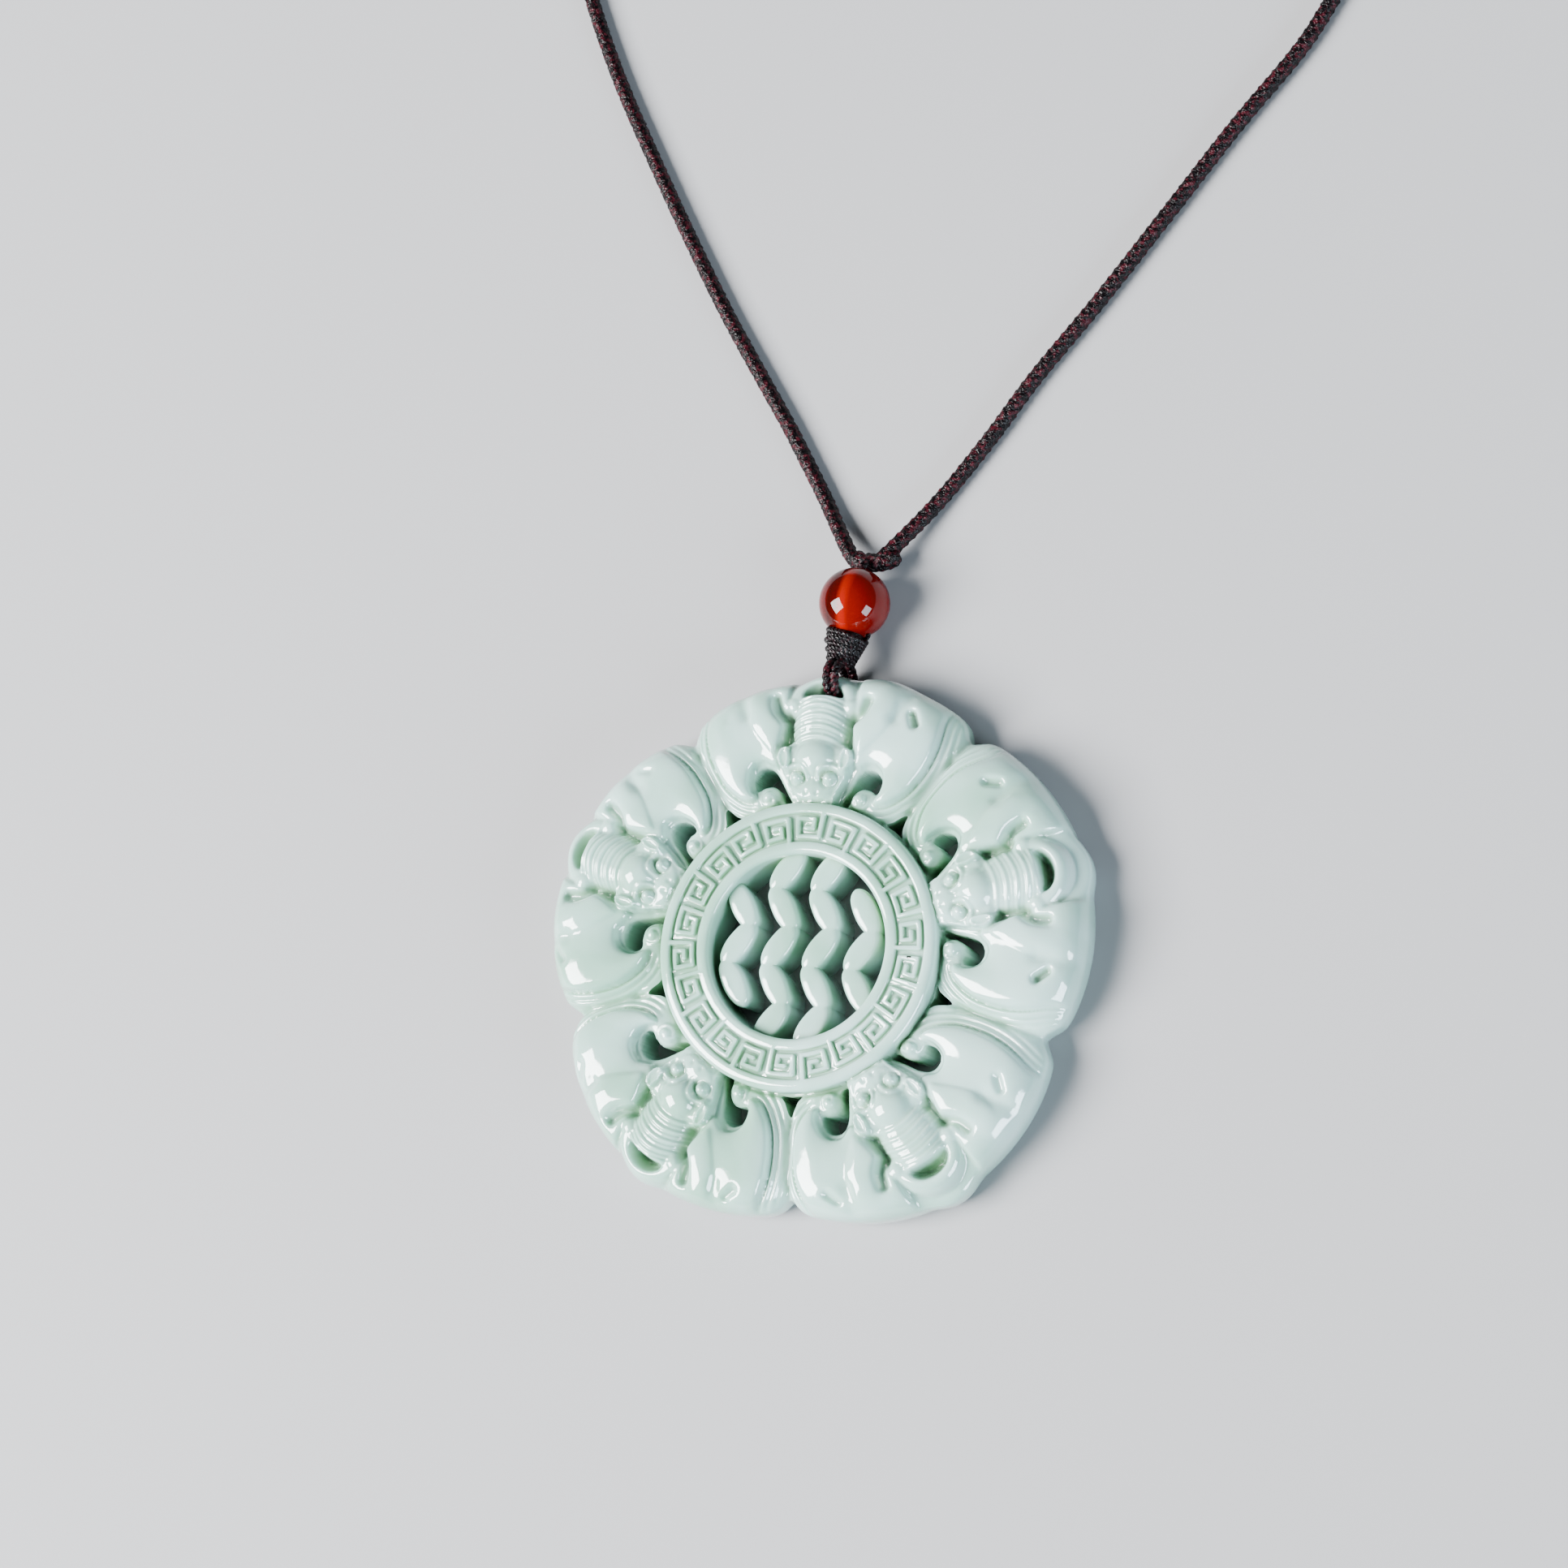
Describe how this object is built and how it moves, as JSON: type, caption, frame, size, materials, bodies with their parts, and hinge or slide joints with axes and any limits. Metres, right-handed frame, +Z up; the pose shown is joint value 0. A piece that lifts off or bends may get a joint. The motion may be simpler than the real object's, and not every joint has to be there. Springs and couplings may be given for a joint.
{
  "type": "stone amulet pendant",
  "caption": "Round carved jade pendant of bats round a fret ring with an openwork middle, lying flat with an agate bead and a braided necklace cord",
  "frame": {"origin": "on the surface that the pendant lies on, under the middle of the pendant, bead and hanging cord together", "axes": "+Z up out of the carved face, +Y from the pendant's centre towards the bead, +X to the right seen from above"},
  "size_m": [0.0788, 0.1434, 0.007],
  "materials": {
    "jade": "polished pale celadon jade, waxy, deeper green in the recesses",
    "agate": "polished translucent orange-red agate with a faint lighter streak",
    "braid": "tight glossy braid of near-black threads with maroon among them"
  },
  "bodies": {
    "root": {"pendant": "jade", "agate_bead": "agate", "woven_wrap": "braid", "hanging_cord": "braid", "cord_left": "braid", "cord_coil": "braid", "cord_right": "braid"}
  },
  "joints": []
}
